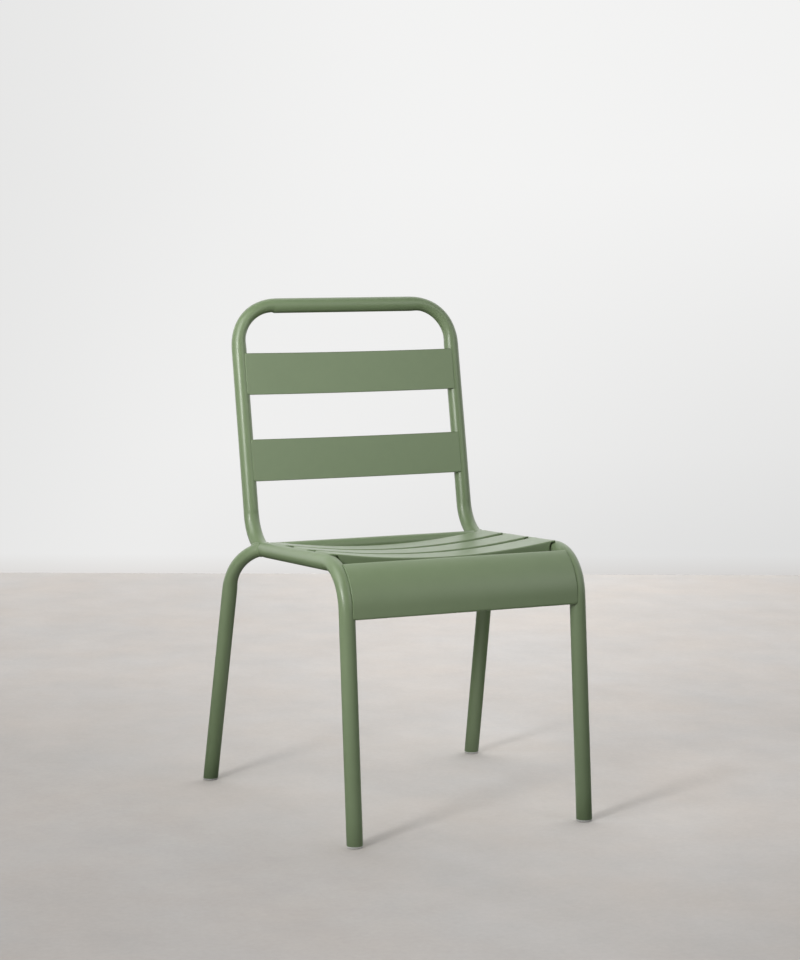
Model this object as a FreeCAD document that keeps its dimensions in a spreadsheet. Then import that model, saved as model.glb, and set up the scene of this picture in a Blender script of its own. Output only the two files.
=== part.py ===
import FreeCAD, Part
import math
import os
import Sketcher

V = FreeCAD.Vector
LEFT = -1
RIGHT = 1
GLIDE_RIBS = 3

# Metal garden chair: one bent tube makes the front legs, seat rails and back loop, two more
# tubes make the rear legs, and pressed sheet slats span between the rails and the uprights.
# The chair stands on Z = 0 and faces -Y, and its origin is on the floor between the feet.
# All lengths are in millimetres.
SIZES = {
    # Tubes
    "tube_diameter": 25,
    "tube_wall": 1.5,
    "crossbar_diameter": 22,
    "weld_gap": 0.15,
    # Centreline of the frame tube, as the corners that the bends round off
    "rail_half_spacing": 195,
    "foot_reach": 261,
    "front_corner_reach": 232.5,
    "front_corner_height": 423,
    "rear_corner_reach": 170.5,
    "rear_corner_height": 405,
    "top_corner_reach": 244,
    "top_corner_height": 803.5,
    "front_bend_radius": 67,
    "rear_bend_radius": 66,
    "top_bend_radius": 65,
    # Rear legs, measured from the start of the rail's rear bend: the knee, and how far along
    # the bend lies the joint into which the legs curve
    "knee_outset": 40,
    "knee_setback": 46.4,
    "knee_drop": 10.1,
    "rear_foot_outset": 51,
    "leg_joint_setback": 11.5,
    # Crossbar, measured from the same start of the rear bend
    "crossbar_setback": 7.5,
    # Back slats, shared out along the uprights between the rear and top bends
    "back_sheet": 2,
    "back_face_inset": 1,
    "back_slat_bow": 9,
    "back_low_gap": 51.5,
    "back_slat_gap": 75,
    "back_top_gap": 16.2,
    # Seat slats, shared out along the rails between the front corner and the crossbar
    "seat_sheet": 1.5,
    "seat_front_setback": 60,
    "seat_slat_gap": 21,
    "seat_rear_gap": 18,
    "seat_end_inset": 2,
    "seat_tab": 10,
    "seat_dish": 15,
    "seat_flange_depth": 15,
    "seat_flange_clearance": 3.5,
    # Front apron, measured from the centre of the front bend
    "apron_sheet": 2,
    "apron_face_inset": 1,
    "apron_top_reach": 36.5,
    "apron_drop": 16,
    # Glides
    "glide_lip": 3,
    "glide_lip_inset": 0.2,
    "glide_fit": 0.1,
    "glide_stem_length": 24,
    "glide_rib_depth": 2.5,
    "glide_rib": 2,
    "glide_rib_pitch": 6,
    # How far a cutting solid runs past what it cuts
    "overrun": 20,
}

doc = FreeCAD.newDocument("metal_garden_chair")
sheet = doc.addObject("Spreadsheet::Sheet", "Sizes")
for row, (alias, number) in enumerate(SIZES.items(), start=1):
    sheet.set(f"A{row}", alias)
    sheet.set(f"B{row}", str(number))
    sheet.setAlias(f"B{row}", alias)
doc.recompute()


def value(expression):
    """A length worked out from the named sizes, such as 'Sizes.tube_diameter / 2'."""
    return float(sheet.evalExpression(expression))


def bind(obj, sizes):
    """Tie properties of a piece to the named sizes."""
    for name, expression in sizes.items():
        obj.setExpression(name, expression)


def frame_placement(origin, x_axis, z_axis):
    """A placement whose local X and Z axes point along the given directions."""
    turn = FreeCAD.Rotation(x_axis, z_axis.cross(x_axis), z_axis, "ZXY")
    return FreeCAD.Placement(origin, turn)


# Centrelines

TUBE_RADIUS = "Sizes.tube_diameter / 2"
BORE_RADIUS = "Sizes.tube_diameter / 2 - Sizes.tube_wall"
COPE_RADIUS = "Sizes.tube_diameter / 2 + Sizes.weld_gap"


def direction(start, end):
    return (end - start).normalize()


def frame_corners(side):
    """Front foot, front corner, rear corner and top corner of the frame tube on one side."""
    x = side * value("Sizes.rail_half_spacing")
    return [
        V(x, -value("Sizes.foot_reach"), 0),
        V(x, -value("Sizes.front_corner_reach"), value("Sizes.front_corner_height")),
        V(x, value("Sizes.rear_corner_reach"), value("Sizes.rear_corner_height")),
        V(x, value("Sizes.top_corner_reach"), value("Sizes.top_corner_height")),
    ]


def tangent_length(before, corner, after, radius):
    """How far from a corner its bend starts and ends."""
    return radius / math.tan(direction(corner, before).getAngle(direction(corner, after)) / 2)


def rear_bend_start(side):
    foot, front, rear, top = frame_corners(side)
    setback = tangent_length(front, rear, top, value("Sizes.rear_bend_radius"))
    return rear + direction(rear, front) * setback


def crossbar_end(side):
    """Point where the crossbar's centreline meets the frame tube, just inside the rear bend."""
    foot, front, rear, top = frame_corners(side)
    return rear_bend_start(side) + direction(front, rear) * value("Sizes.crossbar_setback")


def leg_joint(side):
    """Point of the rear bend where a rear leg is welded to the outside of the tube."""
    foot, front, rear, top = frame_corners(side)
    rail = direction(front, rear)
    radius = value("Sizes.rear_bend_radius")
    turn = value("Sizes.leg_joint_setback") / radius
    inward = V(1, 0, 0).cross(rail)
    along = rail * (radius * math.sin(turn))
    return rear_bend_start(side) + along + inward * (radius - radius * math.cos(turn))


def rear_leg_corners(side):
    """Foot, knee and joint of a rear leg."""
    outset = V(side * value("Sizes.knee_outset"), 0, 0)
    knee = V(0, value("Sizes.knee_setback"), -value("Sizes.knee_drop"))
    knee += rear_bend_start(side) + outset
    foot_x = side * value("Sizes.rail_half_spacing + Sizes.rear_foot_outset")
    return [V(foot_x, value("Sizes.foot_reach"), 0), knee, leg_joint(side)]


def below_floor(foot, above):
    """The foot point moved down its leg, so that the tube can be cut level."""
    return foot - direction(foot, above) * value("Sizes.overrun")


def bent_path(name, corners, radii):
    """A centreline of straight runs with a tangent arc at each inner corner. The last run
    is left out where the last arc already ends at the last corner."""
    edges = []
    start = corners[0]
    for before, corner, after, radius in zip(corners, corners[1:], corners[2:], radii):
        towards = direction(corner, before)
        away = direction(corner, after)
        half = towards.getAngle(away) / 2
        tangent = tangent_length(before, corner, after, radius)
        middle = (towards + away).normalize() * (radius / math.sin(half) - radius)
        bend_start = corner + towards * tangent
        bend_end = corner + away * tangent
        edges.append(Part.LineSegment(start, bend_start).toShape())
        edges.append(Part.Arc(bend_start, corner + middle, bend_end).toShape())
        start = bend_end
    if start.distanceToPoint(corners[-1]) > value("Sizes.weld_gap"):
        edges.append(Part.LineSegment(start, corners[-1]).toShape())
    path = doc.addObject("Part::Feature", name)
    path.Shape = Part.Wire(edges)
    return path


def swept_rod(name, path, radius):
    """A round rod along a path."""
    first = path.Shape.Edges[0]
    circle = doc.addObject("Part::Circle", f"{name}_section")
    bind(circle, {"Radius": radius})
    heading = first.tangentAt(first.FirstParameter)
    turn = FreeCAD.Rotation(V(0, 0, 1), heading)
    circle.Placement = FreeCAD.Placement(first.valueAt(first.FirstParameter), turn)
    rod = doc.addObject("Part::Sweep", name)
    rod.Sections = [circle]
    rod.Spine = (path, [f"Edge{index}" for index in range(1, len(path.Shape.Edges) + 1)])
    rod.Solid = True
    return rod


def cut(name, base, tool):
    result = doc.addObject("Part::Cut", name)
    result.Base = base
    result.Tool = tool
    return result


def level_block(name, base_height, height):
    """A block under or over the whole footprint, for trimming the feet level."""
    block = doc.addObject("Part::Box", name)
    half_width = "(Sizes.rail_half_spacing + Sizes.rear_foot_outset + Sizes.tube_diameter)"
    half_depth = "(Sizes.foot_reach + Sizes.tube_diameter)"
    bind(block, {
        "Length": f"2 * {half_width}",
        "Width": f"2 * {half_depth}",
        "Height": height,
        "Placement.Base.x": f"-{half_width}",
        "Placement.Base.y": f"-{half_depth}",
        "Placement.Base.z": base_height,
    })
    return block


below_tubes = level_block("below_tubes", "-2 * Sizes.overrun", "2 * Sizes.overrun + Sizes.glide_lip")
below_glides = level_block("below_glides", "-2 * Sizes.overrun", "2 * Sizes.overrun")
lip_slab = level_block("lip_slab", "0", "Sizes.glide_lip")

parts = []


def keep(label, obj):
    """Give a finished sub-part its name and list it for writing."""
    obj.Label = label
    parts.append(obj)
    return obj


# Frame tube: front legs, rails, uprights and top bar in one run

left = frame_corners(LEFT)
right = frame_corners(RIGHT)
frame_route = [below_floor(left[0], left[1])] + left[1:] + right[:0:-1]
frame_route.append(below_floor(right[0], right[1]))
side_radii = [value(f"Sizes.{name}_bend_radius") for name in ("front", "rear", "top")]
frame_path = bent_path("frame_path", frame_route, side_radii + side_radii[::-1])
frame_rod = swept_rod("frame_rod", frame_path, TUBE_RADIUS)
frame_bore = swept_rod("frame_bore", frame_path, BORE_RADIUS)
frame_cope = swept_rod("frame_cope", frame_path, COPE_RADIUS)
frame_wall = cut("frame_wall", frame_rod, frame_bore)
keep("main_frame_tube", cut("frame_tube", frame_wall, below_tubes))


# Rear legs: the bend runs right up to the joint, and the end is coped to the frame tube

def rear_leg(side, label):
    foot, knee, joint = rear_leg_corners(side)
    turn_half = direction(knee, foot).getAngle(direction(knee, joint)) / 2
    radius = knee.distanceToPoint(joint) * math.tan(turn_half)
    path = bent_path(f"{label}_path", [below_floor(foot, knee), knee, joint], [radius])
    rod = swept_rod(f"{label}_rod", path, TUBE_RADIUS)
    bore = swept_rod(f"{label}_bore", path, BORE_RADIUS)
    wall = cut(f"{label}_wall", rod, bore)
    coped = cut(f"{label}_coped", wall, frame_cope)
    keep(label, cut(f"{label}_tube", coped, below_tubes))


rear_leg(LEFT, "rear_leg_left")
rear_leg(RIGHT, "rear_leg_right")


# Crossbar: a straight tube between the rails, coped to them at both ends

def cross_rod(name, radius):
    rod = doc.addObject("Part::Cylinder", name)
    bind(rod, {"Radius": radius, "Height": "2 * Sizes.rail_half_spacing"})
    rod.Placement = FreeCAD.Placement(crossbar_end(LEFT), FreeCAD.Rotation(V(0, 0, 1), V(1, 0, 0)))
    return rod


crossbar_rod = cross_rod("crossbar_rod", "Sizes.crossbar_diameter / 2")
crossbar_bore = cross_rod("crossbar_bore", "Sizes.crossbar_diameter / 2 - Sizes.tube_wall")
crossbar_wall = cut("crossbar_wall", crossbar_rod, crossbar_bore)
keep("rear_crossbar", cut("crossbar_tube", crossbar_wall, frame_cope))


# Sheet pieces

def new_body(name, placement):
    body = doc.addObject("PartDesign::Body", name)
    body.Placement = placement
    return body


def origin_plane(body, role):
    return next(plane for plane in body.Origin.OriginFeatures if plane.Role == role)


def new_sketch(body, name, role, offset="0"):
    sketch = body.newObject("Sketcher::SketchObject", name)
    sketch.AttachmentSupport = [(origin_plane(body, role), "")]
    sketch.MapMode = "FlatFace"
    bind(sketch, {"AttachmentOffset.Base.z": offset})
    return sketch


def sketch_point(sketch, geometry, position, place):
    """Hold a point of an outline at its distances from the origin of the outline."""
    for kind, expression in zip(("DistanceX", "DistanceY"), place):
        rule = Sketcher.Constraint(kind, -1, 1, geometry, position, value(expression))
        sketch.setExpression(f"Constraints[{sketch.addConstraint(rule)}]", expression)


def closed_outline(sketch, corners, arcs):
    """A closed outline through the corners, with an arc through a given middle point
    and of a given radius in place of the side that follows a corner listed in arcs."""
    points = [V(value(x), value(y), 0) for x, y in corners]
    for index, start in enumerate(points):
        end = points[(index + 1) % len(points)]
        if index in arcs:
            middle, radius = arcs[index]
            middle = V(value(middle[0]), value(middle[1]), 0)
            sketch.addGeometry(Part.Arc(start, middle, end), False)
        else:
            sketch.addGeometry(Part.LineSegment(start, end), False)

    def end_near(geometry, point):
        first = sketch.getPoint(geometry, 1)
        last = sketch.getPoint(geometry, 2)
        return 1 if first.distanceToPoint(point) < last.distanceToPoint(point) else 2

    for index, point in enumerate(points):
        here = end_near(index, point)
        previous = (index - 1) % len(points)
        joined = Sketcher.Constraint("Coincident", previous, end_near(previous, point), index, here)
        sketch.addConstraint(joined)
        sketch_point(sketch, index, here, corners[index])
    for index, (middle, radius) in arcs.items():
        rule = Sketcher.Constraint("Radius", index, value(radius))
        sketch.setExpression(f"Constraints[{sketch.addConstraint(rule)}]", radius)


def pad(body, name, sketch, length):
    """The outline made solid, half to each side of its plane."""
    feature = body.newObject("PartDesign::Pad", name)
    feature.Profile = sketch
    feature.Midplane = True
    bind(feature, {"Length": length})
    return feature


def dished_strip(sketch, half_span, tab, dish, base, thickness):
    """Section of a strip with flat tabs at both ends and a round dip between them."""
    inner = f"({half_span} - {tab})"
    low = f"{base}"
    high = f"({base} + {thickness})"
    corners = [
        (f"-{half_span}", low), (f"-{inner}", low), (inner, low), (half_span, low),
        (half_span, high), (inner, high), (f"-{inner}", high), (f"-{half_span}", high),
    ]
    radius = f"({inner} * {inner} + {dish} * {dish}) / (2 * {dish})"
    arcs = {
        1: (("0", f"{low} - {dish}"), radius),
        5: (("0", f"{high} - {dish}"), radius),
    }
    closed_outline(sketch, corners, arcs)


def bowed_strip(sketch, half_span, bow, base, thickness):
    """Section of a strip that bows evenly from end to end."""
    high = f"({base} + {thickness})"
    corners = [(f"-{half_span}", base), (half_span, base), (half_span, high), (f"-{half_span}", high)]
    radius = f"({half_span} * {half_span} + {bow} * {bow}) / (2 * {bow})"
    arcs = {
        0: (("0", f"{base} + {bow}"), radius),
        2: (("0", f"{high} + {bow}"), radius),
    }
    closed_outline(sketch, corners, arcs)


# Back slats: bowed sheet whose ends are coped to the inner front of the uprights

BACK_LABELS = ("lower_back_slat", "upper_back_slat")
back_start = tangent_length(*left[1:], value("Sizes.rear_bend_radius"))
back_end = left[2].distanceToPoint(left[3])
back_end -= tangent_length(left[2], left[3], right[3], value("Sizes.top_bend_radius"))
back_sheets = back_end - back_start - value("Sizes.back_low_gap + Sizes.back_top_gap")
back_sheets -= (len(BACK_LABELS) - 1) * value("Sizes.back_slat_gap")
back_width = back_sheets / len(BACK_LABELS)


def back_slat(label, place):
    foot, front, rear, top = frame_corners(LEFT)
    upright = direction(rear, top)
    rise = back_start + value("Sizes.back_low_gap") + back_width / 2
    rise += place * (back_width + value("Sizes.back_slat_gap"))
    centre = V(0, rear.y, rear.z) + upright * rise
    body = new_body(f"{label}_body", frame_placement(centre, V(1, 0, 0), upright))
    section = new_sketch(body, f"{label}_section", "XY_Plane")
    bowed_strip(
        section, "Sizes.rail_half_spacing", "Sizes.back_slat_bow",
        f"(Sizes.back_face_inset - {TUBE_RADIUS})", "Sizes.back_sheet")
    pad(body, f"{label}_sheet", section, f"{back_width}")
    keep(label, cut(f"{label}_coped", body, frame_cope))


for place, label in enumerate(BACK_LABELS):
    back_slat(label, place)


# Seat slats: dished sheet with its end tabs on top of the rails and turned-down long edges

SEAT_LABELS = ("seat_slat_front", "seat_slat_middle", "seat_slat_rear")
seat_sheets = crossbar_end(LEFT).distanceToPoint(left[1]) - value("Sizes.crossbar_diameter / 2")
seat_sheets -= value("Sizes.seat_front_setback + Sizes.seat_rear_gap")
seat_sheets -= (len(SEAT_LABELS) - 1) * value("Sizes.seat_slat_gap")
seat_width = seat_sheets / len(SEAT_LABELS)


def seat_slat(label, place):
    foot, front, rear, top = frame_corners(LEFT)
    rail = direction(front, rear)
    crest = V(1, 0, 0).cross(rail)
    along = value("Sizes.seat_front_setback") + seat_width / 2
    along += place * (seat_width + value("Sizes.seat_slat_gap"))
    centre = V(0, front.y, front.z) + rail * along + crest * value(COPE_RADIUS)
    body = new_body(f"{label}_body", frame_placement(centre, V(1, 0, 0), crest))
    half_span = "(Sizes.rail_half_spacing - Sizes.seat_end_inset)"
    section = new_sketch(body, f"{label}_section", "XZ_Plane")
    dished_strip(section, half_span, "Sizes.seat_tab", "Sizes.seat_dish", "0", "Sizes.seat_sheet")
    pad(body, f"{label}_sheet", section, f"{seat_width}")
    flange_half = f"(Sizes.rail_half_spacing - {TUBE_RADIUS} - Sizes.seat_flange_clearance)"
    dish_half = f"({half_span} - Sizes.seat_tab)"
    radius = f"({dish_half} * {dish_half} + Sizes.seat_dish * Sizes.seat_dish) / (2 * Sizes.seat_dish)"
    end_level = f"({radius} - Sizes.seat_dish - sqrt({radius} * {radius} - {flange_half} * {flange_half}))"
    low_level = f"({end_level} - Sizes.seat_flange_depth)"
    corners = [
        (f"-{flange_half}", low_level), (flange_half, low_level),
        (flange_half, end_level), (f"-{flange_half}", end_level),
    ]
    arcs = {
        0: (("0", "-Sizes.seat_dish - Sizes.seat_flange_depth"), radius),
        2: (("0", "-Sizes.seat_dish"), radius),
    }
    for edge, toward in (("front", "-"), ("rear", "")):
        offset = f"{toward}({seat_width} - Sizes.seat_sheet) / 2"
        flange = new_sketch(body, f"{label}_{edge}_flange_section", "XZ_Plane", offset)
        closed_outline(flange, corners, arcs)
        pad(body, f"{label}_{edge}_flange", flange, "Sizes.seat_sheet")
    keep(label, body)


for place, label in enumerate(SEAT_LABELS):
    seat_slat(label, place)


# Front apron: a sheet that wraps the front bends, coped to the inner front of the frame tube

def front_apron(label):
    foot, front, rear, top = frame_corners(LEFT)
    leg = direction(foot, front)
    rail = direction(front, rear)
    half = (-leg).getAngle(rail) / 2
    centre = front + (rail - leg).normalize() * (value("Sizes.front_bend_radius") / math.sin(half))
    body = new_body(f"{label}_body", frame_placement(V(0, centre.y, centre.z), V(1, 0, 0), leg))
    outer = f"(Sizes.front_bend_radius + {TUBE_RADIUS} - Sizes.apron_face_inset)"
    inner = f"({outer} - Sizes.apron_sheet)"
    top_reach = "Sizes.apron_top_reach"
    top_rise = f"sqrt({outer} * {outer} - {top_reach} * {top_reach})"
    shrink = f"({inner} / {outer})"
    half_turn = math.acos(value(top_reach) / value(outer)) / 2
    corners = [
        (f"-{outer}", "-Sizes.apron_drop"), (f"-{outer}", "0"),
        (f"-{top_reach}", top_rise),
        (f"-{top_reach} * {shrink}", f"{top_rise} * {shrink}"),
        (f"-{inner}", "0"), (f"-{inner}", "-Sizes.apron_drop"),
    ]

    def on_arc(arc_radius):
        return f"-{arc_radius} * {math.cos(half_turn)}", f"{arc_radius} * {math.sin(half_turn)}"

    section = new_sketch(body, f"{label}_section", "YZ_Plane")
    closed_outline(section, corners, {1: (on_arc(outer), outer), 3: (on_arc(inner), inner)})
    pad(body, f"{label}_sheet", section, "2 * Sizes.rail_half_spacing")
    keep(label, cut(f"{label}_coped", body, frame_cope))


front_apron("front_apron")


# Glides: a lip cut level under the tube end, and a ribbed stem that grips its bore

def glide(label, foot, above):
    leg = direction(foot, above)
    along_leg = FreeCAD.Rotation(V(0, 0, 1), leg)

    def leg_cylinder(name, radius, start, height):
        cylinder = doc.addObject("Part::Cylinder", f"{label}_{name}")
        bind(cylinder, {"Radius": radius, "Height": height})
        cylinder.Placement = FreeCAD.Placement(foot + leg * value(start), along_leg)
        return cylinder

    lip_rod = leg_cylinder(
        "lip_rod", f"{TUBE_RADIUS} - Sizes.glide_lip_inset", "-Sizes.overrun", "2 * Sizes.overrun")
    lip = doc.addObject("Part::Common", f"{label}_lip")
    lip.Base = lip_rod
    lip.Tool = lip_slab
    rib_radius = f"{BORE_RADIUS} - Sizes.glide_fit"
    core_radius = f"{rib_radius} - Sizes.glide_rib_depth"
    pieces = [lip, leg_cylinder("stem", core_radius, "0", "Sizes.glide_stem_length")]
    for rib in range(GLIDE_RIBS):
        start = f"Sizes.glide_stem_length - Sizes.glide_rib - {rib} * Sizes.glide_rib_pitch"
        pieces.append(leg_cylinder(f"rib_{rib + 1}", rib_radius, start, "Sizes.glide_rib"))
    whole = doc.addObject("Part::MultiFuse", f"{label}_whole")
    whole.Shapes = pieces
    keep(label, cut(f"{label}_trimmed", whole, below_glides))


for side, side_name in ((LEFT, "left"), (RIGHT, "right")):
    front_foot, front_corner = frame_corners(side)[:2]
    rear_foot, knee = rear_leg_corners(side)[:2]
    glide(f"front_{side_name}_glide", front_foot, front_corner)
    glide(f"rear_{side_name}_glide", rear_foot, knee)


# Check every object, then write each sub-part

doc.recompute()
for obj in doc.Objects:
    if "Invalid" in obj.State or "Error" in obj.State:
        raise RuntimeError(f"{obj.Label} could not be built: {obj.State}")
for part in parts:
    if part.Shape.isNull() or not part.Shape.isValid() or len(part.Shape.Solids) != 1:
        raise RuntimeError(f"{part.Label} is not one valid solid")

os.makedirs("parts", exist_ok=True)
for part in parts:
    part.Shape.exportStep(f"parts/{part.Label}.step")
    print(part.Label, round(part.Shape.Volume), part.Shape.BoundBox)
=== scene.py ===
import math

import bmesh
import bpy
import numpy as np
from mathutils import Matrix, Vector


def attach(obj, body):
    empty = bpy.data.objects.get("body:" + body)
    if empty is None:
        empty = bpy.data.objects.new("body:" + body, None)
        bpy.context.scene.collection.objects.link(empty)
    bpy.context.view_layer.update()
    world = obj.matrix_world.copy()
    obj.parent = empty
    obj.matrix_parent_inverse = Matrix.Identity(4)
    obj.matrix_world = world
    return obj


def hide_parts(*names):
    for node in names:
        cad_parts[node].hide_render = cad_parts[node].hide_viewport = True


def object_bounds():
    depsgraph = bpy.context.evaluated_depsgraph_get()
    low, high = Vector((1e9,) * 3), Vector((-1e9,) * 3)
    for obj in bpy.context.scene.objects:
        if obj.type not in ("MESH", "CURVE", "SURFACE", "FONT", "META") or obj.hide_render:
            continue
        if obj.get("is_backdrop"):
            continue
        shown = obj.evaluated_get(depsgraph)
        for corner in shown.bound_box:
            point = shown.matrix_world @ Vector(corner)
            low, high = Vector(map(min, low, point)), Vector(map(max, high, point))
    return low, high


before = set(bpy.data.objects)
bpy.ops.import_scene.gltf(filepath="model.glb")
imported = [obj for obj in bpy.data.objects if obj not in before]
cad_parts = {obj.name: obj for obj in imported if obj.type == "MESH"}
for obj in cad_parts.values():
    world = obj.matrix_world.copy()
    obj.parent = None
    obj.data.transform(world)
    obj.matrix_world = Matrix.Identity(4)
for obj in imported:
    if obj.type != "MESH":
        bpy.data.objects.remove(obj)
cad_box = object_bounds()

# Metal garden chair. Shapes are worked out in millimetres, in the same frame as the solids:
# +Z up, the chair faces -Y, and the origin is on the floor between the feet.
MM = 0.001
LEFT, RIGHT = -1, 1
SIDES = ((LEFT, "left"), (RIGHT, "right"))
PAINT_SLOT = "sage_powder_coat"
GLIDE_SLOT = "glide_plastic"

# Tubes
TUBE_R = 12.5
BORE_R = 11.0
CROSSBAR_R = 11.0
JOINT_GAP = 0.1
RIM_R = 0.35
BORE_DEPTH = 30.0
TUBE_SIDES = 48
TUBE_ANGLES = np.arange(TUBE_SIDES) * 2 * math.pi / TUBE_SIDES

# Spacing of the rings along a tube, and how far from its ends the plain run stops
BEND_STEP = 2.5
STRAIGHT_STEP = 20.0
FINE_STEP = 0.5
FOOT_RUN = 30.0
LEG_COPE_START, CROSSBAR_COPE_START = 50.0, 140.0
LEG_OVERRUN = 16.0
LEG_COPE_ROWS, CROSSBAR_COPE_ROWS = 16, 8

# How a cold bend flattens the tube: shares of its radius, and where this starts and ends
BEND_FLATTENING = 0.115
BEND_WIDENING = 0.03
STEP_LENGTH = 2.5
RAMP_SHARE = 0.3

# Centreline of the frame tube, as the corners that the bends round off
RAIL_X = 195.0
FOOT_Y = 261.0
FRONT_CORNER = (-232.5, 423.0)
REAR_CORNER = (170.5, 405.0)
TOP_CORNER = (244.0, 803.5)
FRONT_BEND, REAR_BEND, TOP_BEND = 67.0, 66.0, 65.0

# Rear legs and crossbar, from the start of the rail's rear bend
KNEE_OUTSET, KNEE_SETBACK, KNEE_DROP = 40.0, 46.4, 10.1
LEG_JOINT_SETBACK = 11.5
REAR_FOOT_X = 246.0
CROSSBAR_SETBACK = 7.5

# Glides
GLIDE_LIP = 3.0
GLIDE_LIP_INSET = 0.2
GLIDE_RIB_INSET, GLIDE_CORE_INSET = 0.1, 2.6
GLIDE_RIBS = 3
FIRST_RIB, RIB_PITCH, RIB_WIDTH, RIB_CHAMFER = 10.0, 6.0, 2.0, 0.5

# Weld beads
LEG_BEAD, CROSSBAR_BEAD, SHEET_BEAD = 2.8, 2.6, 2.4
SHEET_BEAD_SINK, COPE_BEAD_SINK = 0.4, 0.15
BEAD_INSET = 5.0
BEAD_POINTS = 8
BEAD_BULGE, BEAD_ROOT = 0.2, 0.4
RIPPLE_PITCH = 2.4


def vec(*numbers):
    return np.array(numbers, float)


def unit(v):
    return v / np.linalg.norm(v)


def unit_rows(rows):
    return rows / np.linalg.norm(rows, axis=1)[:, None]


def smooth(share):
    return share * share * (3 - 2 * share)


# Materials

class Shading:
    """The nodes of a material or of the world. Where a method takes a source, it is a socket to
    link from or a constant."""

    def __init__(self, tree):
        self.nodes, self.links = tree.nodes, tree.links

    def feed(self, target, source):
        if isinstance(source, bpy.types.NodeSocket):
            self.links.new(source, target)
        else:
            target.default_value = source

    def add(self, kind, sources, **settings):
        """A new node. sources: what goes into its sockets, by their name or number."""
        node = self.nodes.new(kind)
        for name, setting in settings.items():
            setattr(node, name, setting)
        for socket, source in sources.items():
            self.feed(node.inputs[socket], source)
        return node

    def coords(self, kind="Object"):
        return self.add("ShaderNodeTexCoord", {}).outputs[kind]

    def maths(self, operation, *sources):
        node = self.add("ShaderNodeMath", dict(enumerate(sources)), operation=operation)
        return node.outputs[0]

    def vector_maths(self, operation, output, *sources):
        node = self.add("ShaderNodeVectorMath", dict(enumerate(sources)), operation=operation)
        return node.outputs[output]

    def along(self, coords, direction):
        """Distance along a direction."""
        return self.vector_maths("DOT_PRODUCT", "Value", coords, direction)

    def product(self, first, *others):
        for other in others:
            first = self.vector_maths("MULTIPLY", "Vector", first, other)
        return first

    def noise(self, coords, scale, detail, roughness):
        node = self.add("ShaderNodeTexNoise", {
            "Vector": coords, "Scale": scale, "Detail": detail, "Roughness": roughness})
        return node.outputs["Fac"]

    def ranged(self, source, low, high, out_low=0.0, out_high=1.0):
        node = self.add("ShaderNodeMapRange", {
            "Value": source, "From Min": low, "From Max": high,
            "To Min": out_low, "To Max": out_high})
        return node.outputs["Result"]

    def mixed(self, factor, first, second):
        """A mix of two colours."""
        node = self.add("ShaderNodeMix", {"Factor": factor}, data_type="RGBA")
        for name, source in (("A", first), ("B", second)):
            target = [s for s in node.inputs if s.name == name and s.type == "RGBA"][0]
            self.feed(target, (*source, 1.0) if isinstance(source, tuple) else source)
        return [s for s in node.outputs if s.type == "RGBA"][0]

    def level_ramp(self, source, stops):
        """A grey level that follows these stops of place and level smoothly."""
        low, high = stops[0][0], stops[-1][0]
        node = self.add("ShaderNodeValToRGB", {"Fac": self.ranged(source, low, high)})
        ramp = node.color_ramp
        ramp.interpolation = "CARDINAL"
        ramp.elements[0].color = (*[stops[0][1]] * 3, 1)
        ramp.elements[1].color = (*[stops[-1][1]] * 3, 1)
        for place, level in stops[1:-1]:
            element = ramp.elements.new((place - low) / (high - low))
            element.color = (level, level, level, 1)
        return node.outputs["Color"]

    def bump(self, height, strength, distance, **beneath):
        node = self.add("ShaderNodeBump", {
            "Height": height, "Strength": strength, "Distance": distance, **beneath})
        return node.outputs["Normal"]

    def emission(self, colour, strength):
        return self.add("ShaderNodeEmission", {"Color": colour, "Strength": strength}).outputs[0]

    def ray_kind(self, *kinds):
        """1 for rays of these kinds, and 0 for others."""
        path = self.add("ShaderNodeLightPath", {}).outputs
        total = path[kinds[0]]
        for kind in kinds[1:]:
            total = self.maths("MAXIMUM", total, path[kind])
        return total

    def chosen(self, chooser, otherwise, choice):
        """The one shader or the other, or a mix of both."""
        return self.add("ShaderNodeMixShader", {0: chooser, 1: otherwise, 2: choice}).outputs[0]

    def surface(self, shader):
        self.add("ShaderNodeOutputMaterial", {"Surface": shader})


def new_material(name):
    material = bpy.data.materials.new(name)
    material.use_nodes = True
    material.node_tree.nodes.clear()
    return material, Shading(material.node_tree)


def powder_coat(name, colour, worn, deep):
    """Satin paint with a fine orange peel, and slightly uneven in tone and gloss."""
    material, shading = new_material(name)
    coords = shading.coords()
    cloud = shading.noise(coords, 9.0, 3.0, 0.55)
    streak = shading.noise(coords, 55.0, 4.0, 0.6)
    speck = shading.noise(coords, 900.0, 2.0, 0.6)
    peel = shading.noise(coords, 620.0, 2.0, 0.5)
    wave = shading.noise(coords, 120.0, 2.0, 0.5)
    tone = shading.mixed(shading.ranged(cloud, 0.35, 0.65, 0.0, 0.35), colour, deep)
    tone = shading.mixed(shading.ranged(streak, 0.4, 0.75, 0.0, 0.22), tone, worn)
    tone = shading.mixed(shading.ranged(speck, 0.6, 0.8, 0.0, 0.08), tone, deep)
    peeled = shading.bump(peel, 0.16, 0.0002)
    shader = shading.add("ShaderNodeBsdfPrincipled", {
        "Base Color": tone,
        "Roughness": shading.ranged(streak, 0.3, 0.7, 0.34, 0.41),
        "IOR": 1.6,
        "Normal": shading.bump(wave, 0.08, 0.0006, Normal=peeled)})
    shading.surface(shader.outputs["BSDF"])
    return material


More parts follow.
